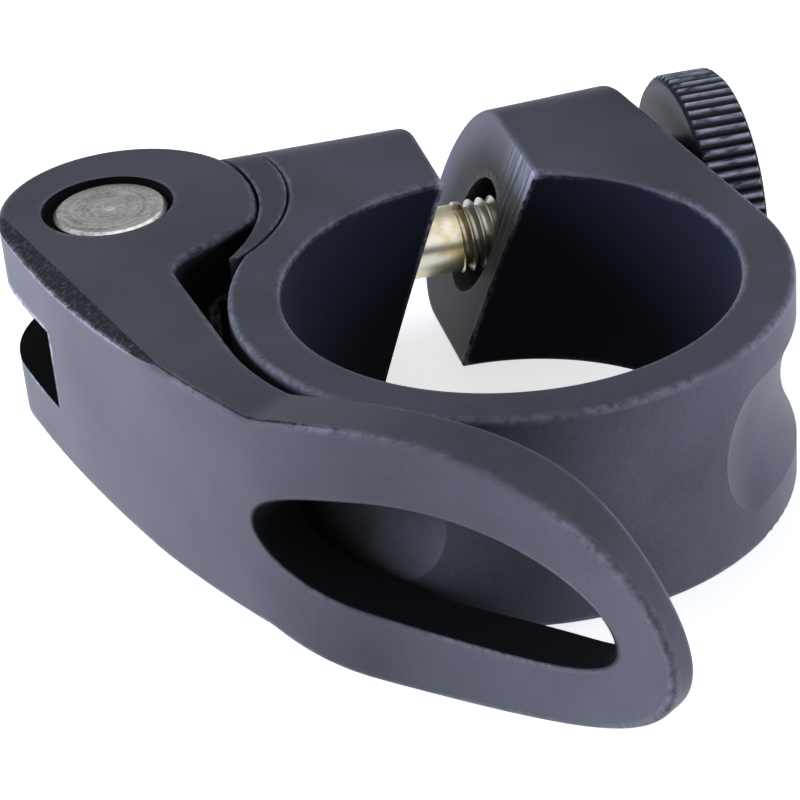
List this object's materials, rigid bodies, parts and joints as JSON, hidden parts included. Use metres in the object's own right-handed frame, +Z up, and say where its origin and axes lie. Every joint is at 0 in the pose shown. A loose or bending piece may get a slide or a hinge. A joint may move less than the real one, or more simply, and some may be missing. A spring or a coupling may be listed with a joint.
{
  "type": "quick-release seatpost clamp",
  "caption": "Black quick-release seatpost clamp: a split collar with hollow sides, a cam lever with an oval finger opening, a barrel pin, a skewer bolt and a knurled nut.",
  "frame": {"origin": "On the seat tube axis, half-way up the collar", "axes": "+X along the skewer bolt from the lever's cam to the knurled nut, +Y from the tube axis towards the split and the bolt, +Z up along the seat tube"},
  "size_m": [0.051, 0.0647, 0.0174],
  "materials": {
    "collar_anodised": "black anodised, satin",
    "pad_plastic": "black moulded plastic, matte",
    "lever_anodised": "black anodised, satin, worn bright along the edges",
    "pin_steel": "turned steel with ring-shaped tool marks",
    "bolt_steel": "zinc-plated steel with faint yellow passivation",
    "nut_anodised": "black anodised, satin"
  },
  "bodies": {
    "clamp": {"collar": "collar_anodised", "cam_pad": "pad_plastic"},
    "nut": {"knurled_nut": "nut_anodised"},
    "skewer": {"skewer_bolt": "bolt_steel", "barrel_pin": "pin_steel"},
    "lever": {"lever": "lever_anodised"}
  },
  "joints": [
    {"name": "nut_turn", "type": "hinge", "parent": "clamp", "child": "nut", "pos_m": [0.0172, 0.01985, 0], "axis": [1, 0, 0], "range_deg": [0, 1801]},
    {"name": "bolt_draw", "type": "slide", "parent": "clamp", "child": "skewer", "axis": [-1, 0, 0], "range_m": [0, 0.004]},
    {"name": "lever_turn", "type": "hinge", "parent": "skewer", "child": "lever", "pos_m": [-0.0222, 0.01985, 0], "axis": [0, 0, -1], "range_deg": [0, 165]}
  ],
  "couplings": [
    {"joint": "nut_turn", "follows": "bolt_draw", "rad_per_m": 7854}
  ]
}
